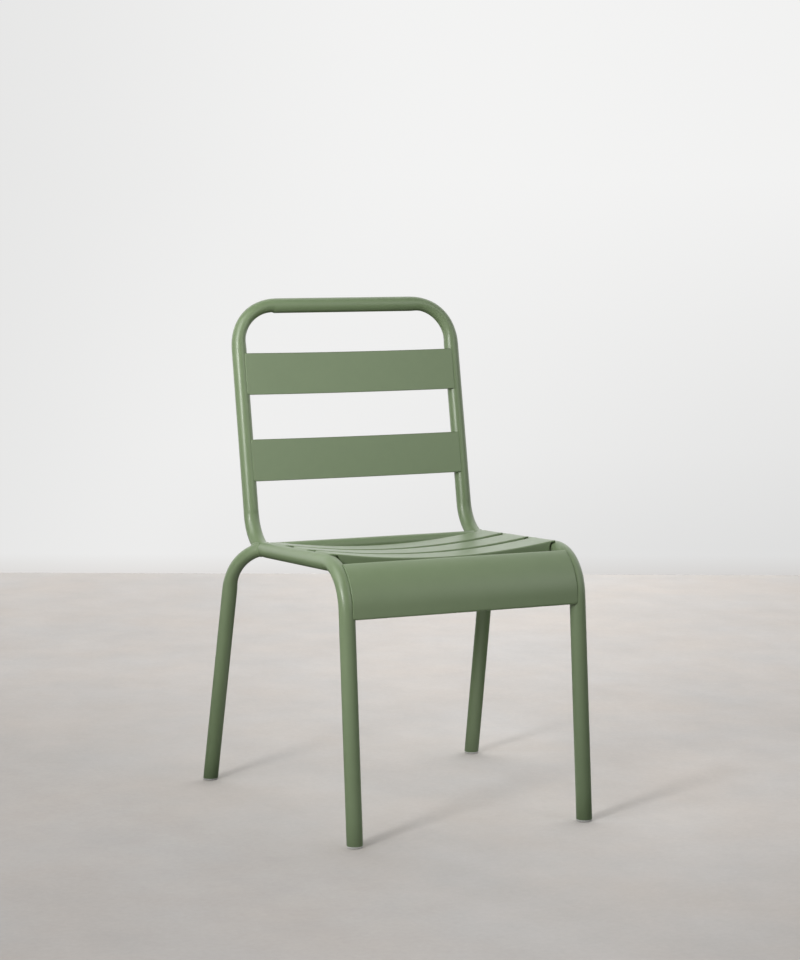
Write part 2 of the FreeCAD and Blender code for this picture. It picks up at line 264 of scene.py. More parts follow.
def moulded_plastic(name, colour, scuffed):
    """Matt plastic with a grain, scuffed in places."""
    material, shading = new_material(name)
    coords = shading.coords()
    grain = shading.noise(coords, 700.0, 3.0, 0.6)
    scuff = shading.noise(coords, 160.0, 4.0, 0.65)
    shader = shading.add("ShaderNodeBsdfPrincipled", {
        "Base Color": shading.mixed(shading.ranged(scuff, 0.45, 0.7, 0.0, 0.6), colour, scuffed),
        "Roughness": shading.ranged(scuff, 0.3, 0.7, 0.45, 0.62),
        "Normal": shading.bump(grain, 0.25, 0.0002)})
    shading.surface(shader.outputs["BSDF"])
    return material


paint = powder_coat(
    PAINT_SLOT, colour=(0.171, 0.234, 0.122), worn=(0.201, 0.264, 0.147),
    deep=(0.155, 0.214, 0.110))
plastic = moulded_plastic(GLIDE_SLOT, colour=(0.60, 0.60, 0.57), scuffed=(0.42, 0.42, 0.40))


# Mesh pieces

def linked(name, data):
    """A new object in the scene."""
    thing = bpy.data.objects.new(name, data)
    bpy.context.scene.collection.objects.link(thing)
    return thing


def add_piece(name, points, faces, material=paint, stands_for=()):
    mesh = bpy.data.meshes.new(name)
    mesh.from_pydata((np.asarray(points) * MM).tolist(), [], faces)
    shell = bmesh.new()
    shell.from_mesh(mesh)
    bmesh.ops.recalc_face_normals(shell, faces=shell.faces)
    shell.to_mesh(mesh)
    shell.free()
    for polygon in mesh.polygons:
        polygon.use_smooth = True
    mesh.materials.append(material)
    piece = linked(name, mesh)
    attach(piece, "root")
    if stands_for:
        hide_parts(*stands_for)


def ring_strip(first, second, count):
    """Quads between two closed rings of points that start at these indices."""
    return [
        (first + k, first + (k + 1) % count, second + (k + 1) % count, second + k)
        for k in range(count)
    ]


def skin(rings, caps=True):
    """Points and faces of a surface through rings that all have the same number of points."""
    count = len(rings[0])
    faces = []
    for k in range(len(rings) - 1):
        faces += ring_strip(k * count, (k + 1) * count, count)
    if caps:
        faces.append(tuple(range(count)))
        faces.append(tuple((len(rings) - 1) * count + k for k in range(count)))
    return np.concatenate(rings), faces


# Tube centrelines

def frame_corners(side):
    return [
        vec(side * RAIL_X, -FOOT_Y, 0),
        vec(side * RAIL_X, *FRONT_CORNER),
        vec(side * RAIL_X, *REAR_CORNER),
        vec(side * RAIL_X, *TOP_CORNER),
    ]


def rear_bend_start(side):
    _, front, rear, top = frame_corners(side)
    towards, away = unit(front - rear), unit(top - rear)
    return rear + towards * (REAR_BEND / math.tan(math.acos(towards @ away) / 2))


def leg_joint(side):
    """Point of the rear bend where the rear leg is welded to the outside of the tube."""
    _, front, rear, _ = frame_corners(side)
    rail = unit(rear - front)
    inward = np.cross(vec(1, 0, 0), rail)
    turn = LEG_JOINT_SETBACK / REAR_BEND
    along = rail * REAR_BEND * math.sin(turn)
    return rear_bend_start(side) + along + inward * REAR_BEND * (1 - math.cos(turn))


def rear_knee(side):
    return rear_bend_start(side) + vec(side * KNEE_OUTSET, KNEE_SETBACK, -KNEE_DROP)


class Centreline:
    """Points along a bent tube, with the direction to the inside of the nearest bend and how
    flat the inner and outer side of the tube are there. The bends were made one after another
    from the start, so each flattening ends with a small step at its far end. sharpness: how
    sudden that step is at each bend, from 0 to 1."""

    def __init__(self, corners, radii, sharpness):
        self.corners = corners
        self.sharpness = sharpness
        self.bends = []
        travelled = 0.0
        start = corners[0]
        for before, corner, after, radius in zip(corners, corners[1:], corners[2:], radii):
            towards, away = unit(before - corner), unit(after - corner)
            half = math.acos(towards @ away) / 2
            tangent = radius / math.tan(half)
            centre = corner + unit(towards + away) * (radius / math.sin(half))
            bend_start, bend_end = corner + towards * tangent, corner + away * tangent
            turned = radius * (math.pi - 2 * half)
            length = np.linalg.norm(bend_start - start)
            self.bends.append((travelled + length, turned, centre, radius, bend_start, bend_end))
            travelled += length + turned
            start = bend_end
        self.length = travelled + np.linalg.norm(corners[-1] - start)
        marks = [0.0]
        for bend_at, bend_length, *_ in self.bends:
            marks += self.steps(marks[-1], bend_at - STRAIGHT_STEP, STRAIGHT_STEP)
            marks += self.steps(marks[-1], bend_at + bend_length + STRAIGHT_STEP, BEND_STEP)
        marks += self.steps(marks[-1], self.length, STRAIGHT_STEP)
        self.marks = np.array(marks)

    @staticmethod
    def steps(start, end, spacing):
        if end - start < spacing / 4:
            return []
        count = max(1, int(round((end - start) / spacing)))
        return list(np.linspace(start, end, count + 1)[1:])

    def place(self, mark):
        """Point and direction at a distance along the line."""
        run_start, run_from = 0.0, self.corners[0]
        for bend_at, bend_length, centre, radius, first, last in self.bends:
            if mark < bend_at:
                direction = unit(first - run_from)
                return run_from + direction * (mark - run_start), direction
            if mark <= bend_at + bend_length:
                spoke = unit(first - centre)
                across = unit((last - centre) - ((last - centre) @ spoke) * spoke)
                turn = (mark - bend_at) / radius
                point = centre + radius * (spoke * math.cos(turn) + across * math.sin(turn))
                return point, across * math.cos(turn) - spoke * math.sin(turn)
            run_start, run_from = bend_at + bend_length, last
        direction = unit(self.corners[-1] - run_from)
        return run_from + direction * (mark - run_start), direction

    def at(self, marks):
        """Points, directions, inward directions and flattenings at distances along the line."""
        marks = np.atleast_1d(np.asarray(marks, float))
        points, heading, inward = (np.zeros((len(marks), 3)) for _ in range(3))
        inner, outer = np.zeros(len(marks)), np.zeros(len(marks))
        for k, mark in enumerate(marks):
            points[k], heading[k] = self.place(mark)
            gaps = [max(bend[0] - mark, mark - bend[0] - bend[1], 0) for bend in self.bends]
            near = int(np.argmin(gaps))
            bend_at, bend_length, centre = self.bends[near][:3]
            towards = centre - points[k]
            inward[k] = unit(towards - (towards @ heading[k]) * heading[k])
            ramp = RAMP_SHARE * bend_length
            rise = smooth(np.clip((mark - bend_at + ramp / 3) / ramp, 0, 1))
            drop = np.clip((bend_at + bend_length + STEP_LENGTH - mark) / STEP_LENGTH, 0, 1)
            soft = smooth(np.clip((bend_at + bend_length + ramp / 3 - mark) / ramp, 0, 1))
            sharp = self.sharpness[near]
            inner[k] = rise * (sharp * drop + (1 - sharp) * soft)
            outer[k] = rise * soft
        return points, heading, inward, inner, outer


def rings_along(line, marks):
    """Rings of a tube round the line, turned as little as possible from one to the next."""
    points, heading, inward, inner, outer = line.at(marks)
    lean = vec(0.3, 0.2, 1.0) if abs(heading[0][2]) < 0.9 else vec(1.0, 0.1, 0)
    u = unit(np.cross(heading[0], lean))
    rings = []
    for k in range(len(points)):
        u = unit(u - (u @ heading[k]) * heading[k])
        v = np.cross(heading[k], u)
        around = np.outer(np.cos(TUBE_ANGLES), u) + np.outer(np.sin(TUBE_ANGLES), v)
        side = np.cross(heading[k], inward[k])
        toward = around @ inward[k]
        across = around @ side
        squeeze = np.where(toward > 0, inner[k], outer[k])
        toward = toward * (1 - BEND_FLATTENING * squeeze)
        across = across * (1 + BEND_WIDENING * outer[k])
        rings.append(points[k] + TUBE_R * (np.outer(toward, inward[k]) + np.outer(across, side)))
    return rings


def level_cut(ring, heading, height):
    """The ring slid along the tube until it lies level at this height."""
    return ring + np.outer((height - ring[:, 2]) / heading[2], heading)


def foot_end(ring, heading):
    """Rings from the level rim of a tube round its edge and up its bore."""
    centre = ring.mean(0)
    profile = [
        (TUBE_R, RIM_R), (TUBE_R - RIM_R * 0.3, RIM_R * 0.3), (TUBE_R - RIM_R, 0.0),
        (BORE_R, 0.0), (BORE_R, BORE_DEPTH)]
    return [
        level_cut(centre + (ring - centre) * (radius / TUBE_R), heading, GLIDE_LIP + height)
        for radius, height in profile]


frame_line = Centreline(
    frame_corners(LEFT) + frame_corners(RIGHT)[::-1],
    [FRONT_BEND, REAR_BEND, TOP_BEND, TOP_BEND, REAR_BEND, FRONT_BEND],
    [1.0, 0.3, 1.0, 0.0, 0.3, 0.3])


def build_frame_tube():
    marks = [m for m in frame_line.marks if FOOT_RUN < m < frame_line.length - FOOT_RUN]
    body = rings_along(frame_line, marks)
    headings = frame_line.at([marks[0], marks[-1]])[1]
    start = foot_end(body[0], headings[0])[::-1]
    end = foot_end(body[-1], headings[1])
    points, faces = skin(start + body + end)
    add_piece("frame_tube", points, faces, stands_for=("main_frame_tube",))


build_frame_tube()


# Coped ends and weld beads

frame_points, frame_headings = frame_line.at(np.arange(0.0, frame_line.length, 1.0))[:2]


def frame_offset(points):
    """Distance of each point from the frame tube's centreline, and the direction away from it."""
    distance = np.full(len(points), np.inf)
    away = np.zeros_like(points)
    for k, point in enumerate(points):
        near = np.argmin(((frame_points - point) ** 2).sum(1))
        gap = point - frame_points[near]
        gap = gap - (gap @ frame_headings[near]) * frame_headings[near]
        distance[k] = np.linalg.norm(gap)
        away[k] = gap / distance[k]
    return distance, away


def coped_end(trial, rows):
    """Rings that end just short of the frame tube's surface. trial: rings so close together
    that every line of the tube can be followed along them."""
    steps, sides = trial.shape[:2]
    lines = np.arange(sides)
    hits = np.zeros(sides)
    for k in lines:
        distance = frame_offset(trial[:, k])[0] - TUBE_R - JOINT_GAP
        hit = int(np.argmax(distance < 0))
        if hit:
            hits[k] = hit - 1 + distance[hit - 1] / (distance[hit - 1] - distance[hit])
        else:
            hits[k] = np.argmin(distance)
    rings = []
    for share in np.linspace(0, 1, rows + 1)[1:]:
        whole = np.minimum((hits * share).astype(int), steps - 2)
        part = (hits * share - whole)[:, None]
        rings.append(trial[whole, lines] * (1 - part) + trial[whole + 1, lines] * part)
    return rings


def weld_bead(name, corner, normals_first, normals_second, along, size, closed, sink):
    """A bead along the corner between two painted surfaces, with fine ripples.
    corner: points along the corner; normals_*: outward normals of the surfaces there; along:
    the direction from the corner up the first surface; sink: how far each toe goes in."""
    if closed:
        forward = unit_rows(np.roll(corner, -1, axis=0) - np.roll(corner, 1, axis=0))
    else:
        forward = unit_rows(np.gradient(corner, axis=0))
    first = unit_rows(np.cross(forward, normals_first))
    sign = np.sign((first * along).sum(1))[:, None]
    first = first * sign
    second = unit_rows(-np.cross(forward, normals_second) * sign)
    middle = unit_rows(normals_first + normals_second)
    spans = np.linalg.norm(np.diff(corner, axis=0), axis=1)
    travelled = np.concatenate([[0.0], np.cumsum(spans)])
    total = travelled[-1] + (np.linalg.norm(corner[0] - corner[-1]) if closed else 0.0)
    ripples = max(2, int(round(total / RIPPLE_PITCH)))
    turns = travelled / total * 2 * math.pi
    swell = 1 + 0.045 * np.sin(turns * ripples)
    swell = swell + 0.05 * np.sin(turns * 3 + 1.0) + 0.03 * np.sin(turns * 7 + 2.0)
    if not closed:
        ends = np.clip(np.minimum(travelled, total - travelled) / (size * 1.2), 0, 1)
        swell = swell * np.sqrt(np.clip(1 - (1 - ends) ** 2, 0.02, 1))
    rings = []
    for k in range(len(corner)):
        reach = size * swell[k]
        ring = []
        for share in np.linspace(0, 1, BEAD_POINTS):
            bulge = 4 * share * (1 - share)
            across = share * first[k] + (1 - share) * second[k]
            across = across + BEAD_BULGE * bulge * middle[k]
            toes = share ** 2 * normals_first[k] + (1 - share) ** 2 * normals_second[k]
            ring.append(corner[k] + reach * across - sink * toes)
        ring.append(corner[k] - BEAD_ROOT * size * middle[k])
        rings.append(np.array(ring))
    points, faces = skin(rings, caps=not closed)
    if closed:
        faces += ring_strip((len(rings) - 1) * len(rings[0]), 0, len(rings[0]))
    add_piece(name, points, faces)


def cope_bead(name, ends, axis_points, inward, size):
    """A bead all round a coped tube end. inward: along the coped tube, off the frame."""
    distance, away = frame_offset(ends)
    corner = ends - away * (distance - TUBE_R)[:, None]
    outward = ends - axis_points
    outward = unit_rows(outward - np.outer(outward @ inward, inward))
    sink = size ** 2 / (2 * TUBE_R) + COPE_BEAD_SINK
    weld_bead(name, corner, outward, away, np.tile(inward, (len(ends), 1)), size, True, sink)


def sheet_bead(name, corner, from_sheet, from_tube, side):
    """A bead along the end of a sheet, where it runs into the tube on this side."""
    off_tube = np.tile(vec(-side, 0, 0), (len(corner), 1))
    weld_bead(
        name, corner, from_sheet, from_tube, off_tube, SHEET_BEAD, False, SHEET_BEAD_SINK)


def build_rear_leg(side, side_name):
    joint = leg_joint(side)
    knee = rear_knee(side)
    foot = vec(side * REAR_FOOT_X, FOOT_Y, 0)
    half = math.acos(unit(foot - knee) @ unit(joint - knee)) / 2
    # The bend ends a hair before the joint, so that the line has a last straight run
    radius = np.linalg.norm(knee - joint) * math.tan(half) * 0.9999
    line = Centreline([foot, knee, joint], [radius], [0.5])
    marks = [m for m in line.marks if FOOT_RUN < m < line.length - LEG_COPE_START]
    fine = list(np.arange(marks[-1], line.length + LEG_OVERRUN, FINE_STEP))
    every = np.array(rings_along(line, marks[:-1] + fine))
    body = list(every[:len(marks)])
    rows = coped_end(every[len(marks) - 1:], LEG_COPE_ROWS)
    ends = rows[-1]
    start = foot_end(body[0], line.at(marks[0])[1][0])[::-1]
    points, faces = skin(start + body + rows)
    add_piece(f"rear_leg_tube_{side_name}", points, faces, stands_for=(f"rear_leg_{side_name}",))
    axis_point, heading = (found[0] for found in line.at(line.length - TUBE_R)[:2])
    axis_points = axis_point + np.outer((ends - axis_point) @ heading, heading)
    cope_bead(f"weld_rear_leg_{side_name}", ends, axis_points, -heading, LEG_BEAD)


for side, side_name in SIDES:
    build_rear_leg(side, side_name)


def build_crossbar():
    _, front, rear, _ = frame_corners(LEFT)
    centre = rear_bend_start(LEFT) + unit(rear - front) * CROSSBAR_SETBACK
    centre[0] = 0
    circle = np.stack([np.zeros(TUBE_SIDES), np.cos(TUBE_ANGLES), np.sin(TUBE_ANGLES)], 1)

    def rings_at(side, marks):
        return [centre + vec(side * mark, 0, 0) + CROSSBAR_R * circle for mark in marks]

    halves = []
    for side, side_name in SIDES:
        body = rings_at(
            side, np.arange(STRAIGHT_STEP, CROSSBAR_COPE_START + 1, STRAIGHT_STEP))
        fine = rings_at(side, np.arange(CROSSBAR_COPE_START, RAIL_X, FINE_STEP))
        rows = coped_end(np.array(fine), CROSSBAR_COPE_ROWS)
        halves.append(body + rows)
        axis_points = np.tile(centre, (TUBE_SIDES, 1))
        axis_points[:, 0] = rows[-1][:, 0]
        cope_bead(
            f"weld_crossbar_{side_name}", rows[-1], axis_points, vec(-side, 0, 0), CROSSBAR_BEAD)
    points, faces = skin(halves[0][::-1] + rings_at(LEFT, [0.0]) + halves[1])
    add_piece("crossbar_tube", points, faces, stands_for=("rear_crossbar",))


build_crossbar()


# Glides

def build_glide(place_name, foot, above):
    leg = unit(above - foot)
    across = unit(np.cross(leg, vec(0.2, 1.0, 0.1)))
    other = np.cross(leg, across)
    circle = np.outer(np.cos(TUBE_ANGLES), across) + np.outer(np.sin(TUBE_ANGLES), other)
    lip_r = TUBE_R - GLIDE_LIP_INSET
    rib_r, core_r = BORE_R - GLIDE_RIB_INSET, BORE_R - GLIDE_CORE_INSET
    lip_top = GLIDE_LIP - 0.02
    profile = [
        (lip_r - 1.6, 0.0), (lip_r - 0.9, 0.08), (lip_r - 0.35, 0.35), (lip_r - 0.08, 0.9),
        (lip_r, 1.6), (lip_r, 2.75), (lip_r - 0.12, 2.93), (lip_r - 0.3, lip_top),
        (core_r, lip_top)]
    for rib in range(GLIDE_RIBS):
        low = FIRST_RIB + RIB_PITCH * rib
        high = low + RIB_WIDTH
        profile += [
            (core_r, low), (rib_r - RIB_CHAMFER, low), (rib_r, low + RIB_CHAMFER),
            (rib_r, high - RIB_CHAMFER), (rib_r - RIB_CHAMFER, high), (core_r, high)]
    rings = [
        level_cut(foot + leg * height / leg[2] + radius * circle, leg, height)
        for radius, height in profile]
    points, faces = skin(rings)
    add_piece(
        f"foot_glide_{place_name}", points, faces, plastic,
        stands_for=(f"{place_name}_glide",))


for side, side_name in SIDES:
    build_glide(f"front_{side_name}", frame_corners(side)[0], frame_corners(side)[1])
    build_glide(f"rear_{side_name}", vec(side * REAR_FOOT_X, FOOT_Y, 0), rear_knee(side))


# Sheet pieces

EDGE_R = 0.7
SUPPORT = 0.5
CORNER_SHARES = (0.0, 0.08, 0.25, 0.5, 0.75, 1.0)
CLOSEST_ROWS = 0.12
SHEET_COLUMNS = 60
PAST_LAST_COLUMN = 1.02


def outline_normals(loop):
    """Outward normals of a closed loop of plane points that runs anticlockwise."""
    ahead = np.roll(loop, -1, axis=0) - loop
    behind = loop - np.roll(loop, 1, axis=0)
    both = unit_rows(unit_rows(ahead) + unit_rows(behind))
    return np.stack([both[:, 1], -both[:, 0]], 1)


def sheet_piece(
        name, rows, half_length, columns, place, thickness, edge, stands_for, stretch=None):
    """A sheet with rounded edges. rows: places across it; half_length(b): how far it reaches at
    a row; columns: places along it, which past stretch follow the length of each row;
    place(a, b, depth) gives the points."""
    support = edge + SUPPORT
    last = columns[-1] * PAST_LAST_COLUMN
    grid = []
    for b in rows:
        reach = half_length(b)
        line = columns
        if stretch:
            past = np.clip(np.abs(columns) - stretch, 0, None)
            past = past * (reach - support - stretch) / (last - stretch)
            line = np.sign(columns) * (np.minimum(np.abs(columns), stretch) + past)
        line = np.concatenate([[-reach, -reach + support], line, [reach - support, reach]])
        grid.append(np.stack([line, np.full(len(line), b)], 1))
    grid = np.array(grid)
    n_rows, n_cols = grid.shape[:2]
    index = np.arange(n_rows * n_cols).reshape(n_rows, n_cols)
    loop = np.concatenate([index[0, :-1], index[:-1, -1], index[-1, :0:-1], index[:0:-1, 0]])
    flat = grid.reshape(-1, 2)
    outline = flat[loop]
    normals = outline_normals(outline)
    front = flat.copy()
    front[loop] = outline - normals * edge
    arcs = [(edge * (1 - math.sin(a)), edge * (1 - math.cos(a))) for a in np.radians([30, 60, 90])]
    arcs += [(inset, thickness - depth) for inset, depth in arcs[::-1]]
    rings = []
    for inset, depth in arcs:
        ring = outline - normals * inset
        rings.append(place(ring[:, 0], ring[:, 1], np.full(len(ring), depth)))
    points = [place(front[:, 0], front[:, 1], np.zeros(len(front)))] + rings
    points.append(place(front[:, 0], front[:, 1], np.full(len(front), thickness)))
    size, count = len(flat), len(loop)
    faces = []
    back = size + len(rings) * count
    for r in range(n_rows - 1):
        for c in range(n_cols - 1):
            quad = (index[r, c], index[r, c + 1], index[r + 1, c + 1], index[r + 1, c])
            faces.append(tuple(int(q) for q in quad))
            faces.append(tuple(int(back + q) for q in quad[::-1]))
    for k in range(count):
        after = (k + 1) % count
        faces.append((int(loop[after]), int(loop[k]), size + k, size + after))
        for ring in range(len(rings) - 1):
            low, high = size + ring * count, size + (ring + 1) * count
            faces.append((low + after, low + k, high + k, high + after))
        last = size + (len(rings) - 1) * count
        faces.append((last + after, last + k, int(back + loop[k]), int(back + loop[after])))
    add_piece(name, np.concatenate(points), faces, stands_for=stands_for)


def rounded_end(half_width, reach, radius_low, radius_high):
    """Half length of a sheet with rounded corners, as a function of the place across it."""
    def half_length(b):
        radius = radius_high if b > 0 else radius_low
        over = abs(b) - (half_width - radius)
        if over <= 0:
            return reach
        return reach - (radius - math.sqrt(max(radius ** 2 - over ** 2, 0)))
    return half_length


def edge_rows(half_width, radius_low, radius_high, spacing):
    """Places across a sheet, close together in the corners."""
    support = EDGE_R + SUPPORT
    inner = (-half_width + radius_low, half_width - radius_high)
    rows = [-half_width + radius_low * share for share in CORNER_SHARES]
    rows += [-half_width + support]
    rows += list(np.linspace(*inner, max(2, int(2 * half_width / spacing))))
    rows += [half_width - radius_high * share for share in CORNER_SHARES]
    rows += [half_width - support]
    rows = np.unique(np.round(rows, 4))
    keep = [rows[0]]
    for b in rows[1:]:
        if b - keep[-1] > CLOSEST_ROWS:
            keep.append(b)
    keep[-1] = rows[-1]
    return np.array(keep)


# Back slats. Directions: up the uprights, and square to them towards the back
UPRIGHT = unit(vec(0, TOP_CORNER[0] - REAR_CORNER[0], TOP_CORNER[1] - REAR_CORNER[1]))
BACKWARD = vec(0, UPRIGHT[2], -UPRIGHT[1])
BACK_SHEET = 2.0
BACK_INSET = -0.2
BACK_BOW = 9.0
BACK_WIDTH = 70.0
BACK_END = 190.0
BACK_RISES = {"lower": 144.0, "upper": 289.0}
BACK_CORNER_R = 3.5
BACK_ROW_SPACING, BACK_COLUMN_INSET = 8.0, 7.5
BACK_MEET_GUESS, BACK_MEET_ROUNDS = 8.0, 4


def build_back_slat(label, rise):
    centre = vec(0, *REAR_CORNER) + UPRIGHT * rise
    bow_r = (RAIL_X ** 2 + BACK_BOW ** 2) / (2 * BACK_BOW)

    def place(a, b, depth):
        slope = a / bow_r
        face = BACK_INSET - TUBE_R + np.sqrt(bow_r ** 2 - a ** 2) - (bow_r - BACK_BOW)
        out = np.zeros((len(a), 3)) + centre
        out += np.outer(b, UPRIGHT)
        out += np.outer(face + depth * np.cos(slope), BACKWARD)
        out[:, 0] += a + depth * np.sin(slope)
        return out

    half = BACK_WIDTH / 2
    inner = BACK_END - BACK_COLUMN_INSET
    sheet_piece(
        f"back_slat_{label}", edge_rows(half, BACK_CORNER_R, BACK_CORNER_R, BACK_ROW_SPACING),
        rounded_end(half, BACK_END, BACK_CORNER_R, BACK_CORNER_R),
        np.linspace(-inner, inner, SHEET_COLUMNS), place, BACK_SHEET, EDGE_R,
        stands_for=(f"{label}_back_slat",))

    # A bead down the rear of each end, where the sheet runs into the upright. Both bend away,
    # so the place where they meet is found in a few rounds from a first guess
    for side, side_name in SIDES:
        a = side * (RAIL_X - BACK_MEET_GUESS)
        for _ in range(BACK_MEET_ROUNDS):
            rear_face = place(np.array([a]), np.zeros(1), np.full(1, BACK_SHEET))[0]
            behind = (rear_face - centre) @ BACKWARD
            a = side * (RAIL_X - math.sqrt(TUBE_R ** 2 - behind ** 2))
        run = np.arange(-half + BEAD_INSET, half - BEAD_INSET + 0.1, 1.0)
        corner = centre + np.outer(run, UPRIGHT) + vec(a, 0, 0) + BACKWARD * behind
        from_tube = unit(vec(a - side * RAIL_X, 0, 0) + BACKWARD * behind)
        every = (len(run), 1)
        sheet_bead(
            f"weld_back_slat_{label}_{side_name}", corner, np.tile(BACKWARD, every),
            np.tile(from_tube, every), side)


for label, rise in BACK_RISES.items():
    build_back_slat(label, rise)


# Seat slats. Directions: back along the rails, and square up from them
RAIL = unit(vec(0, REAR_CORNER[0] - FRONT_CORNER[0], REAR_CORNER[1] - FRONT_CORNER[1]))
CREST = vec(0, -RAIL[2], RAIL[1])
SEAT_SHEET = 1.5
SEAT_EDGE_R = 0.5
SEAT_LIFT = 0.1
SEAT_SETBACK = 60.0
SEAT_GAP = 21.0
SEAT_REAR_GAP = 18.0
SEAT_DISH = 15.0
# Half lengths: the whole slat, where it comes to lie on the rails, and its even columns
SEAT_HALF = 194.5
SEAT_TOUCH, TOUCH_BLEND = 188.0, 1.6
SEAT_EVEN = 160.0
# The ends thin out and are filled down to the rails by the weld; the corners are cut off
END_TAPER = 4.5
WELD_FROM, WELD_RAMP, WELD_SINK = 184.0, 1.2, 0.2
TAB_CUT, TAB_CUT_DEPTH = 8.0, 4.0
# Turned-down long edges
FOLD_R = 1.9
FLANGE_DEPTH = 15.0
FLANGE_TOP_END, FLANGE_LOW_END = 183.6, 179.6
FLANGE_END_R, FLANGE_CORNER_R = 7.0, 2.0


def dish_level(a):
    """Height of the underside over the crests of the rails, on which the ends lie."""
    radius = (SEAT_TOUCH ** 2 + SEAT_DISH ** 2) / (2 * SEAT_DISH)
    arc = (radius - SEAT_DISH) - np.sqrt(radius ** 2 - a ** 2)
    share = np.clip(0.5 - 0.5 * arc / TOUCH_BLEND, 0, 1)
    return arc * share - TOUCH_BLEND * share * (1 - share)


def weld_fill(a):
    """How far the weld under the ends reaches down to the rails."""
    inset = RAIL_X - np.abs(a)
    tube = np.sqrt(TUBE_R ** 2 - np.clip(inset, 0, TUBE_R - 1) ** 2) - TUBE_R - WELD_SINK
    share = np.clip((np.abs(a) - WELD_FROM) / WELD_RAMP, 0, 1)
    return share * np.clip(dish_level(a) - tube, 0, None)


def seat_slat_width():
    joint = rear_bend_start(LEFT)
    rail_run = np.linalg.norm(joint - frame_corners(LEFT)[1]) + CROSSBAR_SETBACK
    sheets = rail_run - CROSSBAR_R - SEAT_SETBACK - SEAT_REAR_GAP
    return (sheets - 2 * SEAT_GAP) / 3


def build_seat_slat(label, place_number):
    width = seat_slat_width()
    along = SEAT_SETBACK + width / 2 + place_number * (width + SEAT_GAP)
    centre = vec(0, *FRONT_CORNER) + RAIL * along + CREST * (TUBE_R + SEAT_LIFT)
    # Places across the sheet: where the fold starts, where it ends and the flange's edge
    flat = width / 2 - FOLD_R
    fold = FOLD_R * math.pi / 2
    top = flat + fold
    end = top + (FLANGE_DEPTH + SEAT_SHEET - FOLD_R)

    def place(a, b, depth):
        taper = 0.9 * np.clip((np.abs(a) - SEAT_HALF + END_TAPER) / END_TAPER, 0, 1) ** 1.5
        depth = SEAT_SHEET - (SEAT_SHEET - depth) * (1 - taper)
        turn = np.clip(np.abs(b) - flat, 0, fold) / FOLD_R
        down = np.clip(np.abs(b) - flat - fold, 0, None)
        radius = FOLD_R - depth
        side = np.where(turn > 0, flat + radius * np.sin(turn), np.minimum(np.abs(b), flat))
        level = np.where(turn > 0, radius * np.cos(turn) - FOLD_R, -depth) - down
        fill = weld_fill(a) * np.clip(depth, 0, None) / SEAT_SHEET
        out = np.zeros((len(a), 3)) + centre
        out += np.outer(np.sign(b) * side, RAIL)
        out += np.outer(level + SEAT_SHEET + dish_level(a) - fill, CREST)
        out[:, 0] += a
        return out

    def half_length(b):
        b = abs(b)
        if b <= flat:
            return SEAT_HALF - TAB_CUT_DEPTH * max(0.0, b - flat + TAB_CUT) / TAB_CUT
        if b <= flat + fold:
            share = (b - flat) / fold
            cut = SEAT_HALF - TAB_CUT_DEPTH
            return cut - (cut - FLANGE_TOP_END) * (1 - math.sqrt(max(0, 1 - share ** 2)))
        turn = min(1.0, (b - top) / FLANGE_END_R) * math.pi / 2
        reach = FLANGE_TOP_END - (FLANGE_TOP_END - FLANGE_LOW_END) * math.sin(turn)
        over = b - (end - FLANGE_CORNER_R)
        if over <= 0:
            return reach
        return reach - (FLANGE_CORNER_R - math.sqrt(max(0, FLANGE_CORNER_R ** 2 - over ** 2)))

    rows = [end - inset for inset in (0.0, 0.15, 0.5, 1.2, FLANGE_CORNER_R)]
    rows += [top + drop for drop in (FLANGE_END_R, 5.5, 4.0, 2.5, 1.2)]
    rows += list(np.linspace(top, flat, 9))
    rows += [flat - inset for inset in (1.0, 3.0, 5.5, TAB_CUT)]
    rows += list(np.linspace(flat - TAB_CUT - 1.0, 0, 5))
    rows = np.array(rows)
    rows = np.unique(np.round(np.concatenate([rows, -rows]), 4))
    ends = np.concatenate([np.linspace(4, SEAT_EVEN, 40), np.linspace(161.5, 178, 14)])
    columns = np.concatenate([-ends[::-1], [0.0], ends])
    sheet_piece(
        f"seat_slat_sheet_{label}", rows, half_length, columns, place, SEAT_SHEET, SEAT_EDGE_R,
        stands_for=(f"seat_slat_{label}",), stretch=SEAT_EVEN)


for number, label in enumerate(("front", "middle", "rear")):
    build_seat_slat(label, number)


# Front apron. It follows the front bend from the reach of its top edge to the drop below it
APRON_SHEET = 2.0
APRON_INSET = 0.7
APRON_TOP_REACH = 40.5
APRON_DROP = 16.0
APRON_END = 189.3
APRON_ROLL, APRON_ROLL_R = 3.0, 4.0
APRON_CORNER_LOW, APRON_CORNER_HIGH = 4.0, 2.0
APRON_ROW_SPACING, APRON_COLUMN_INSET = 3.0, 9.0
APRON_BEAD_OVERRUN = 1.5


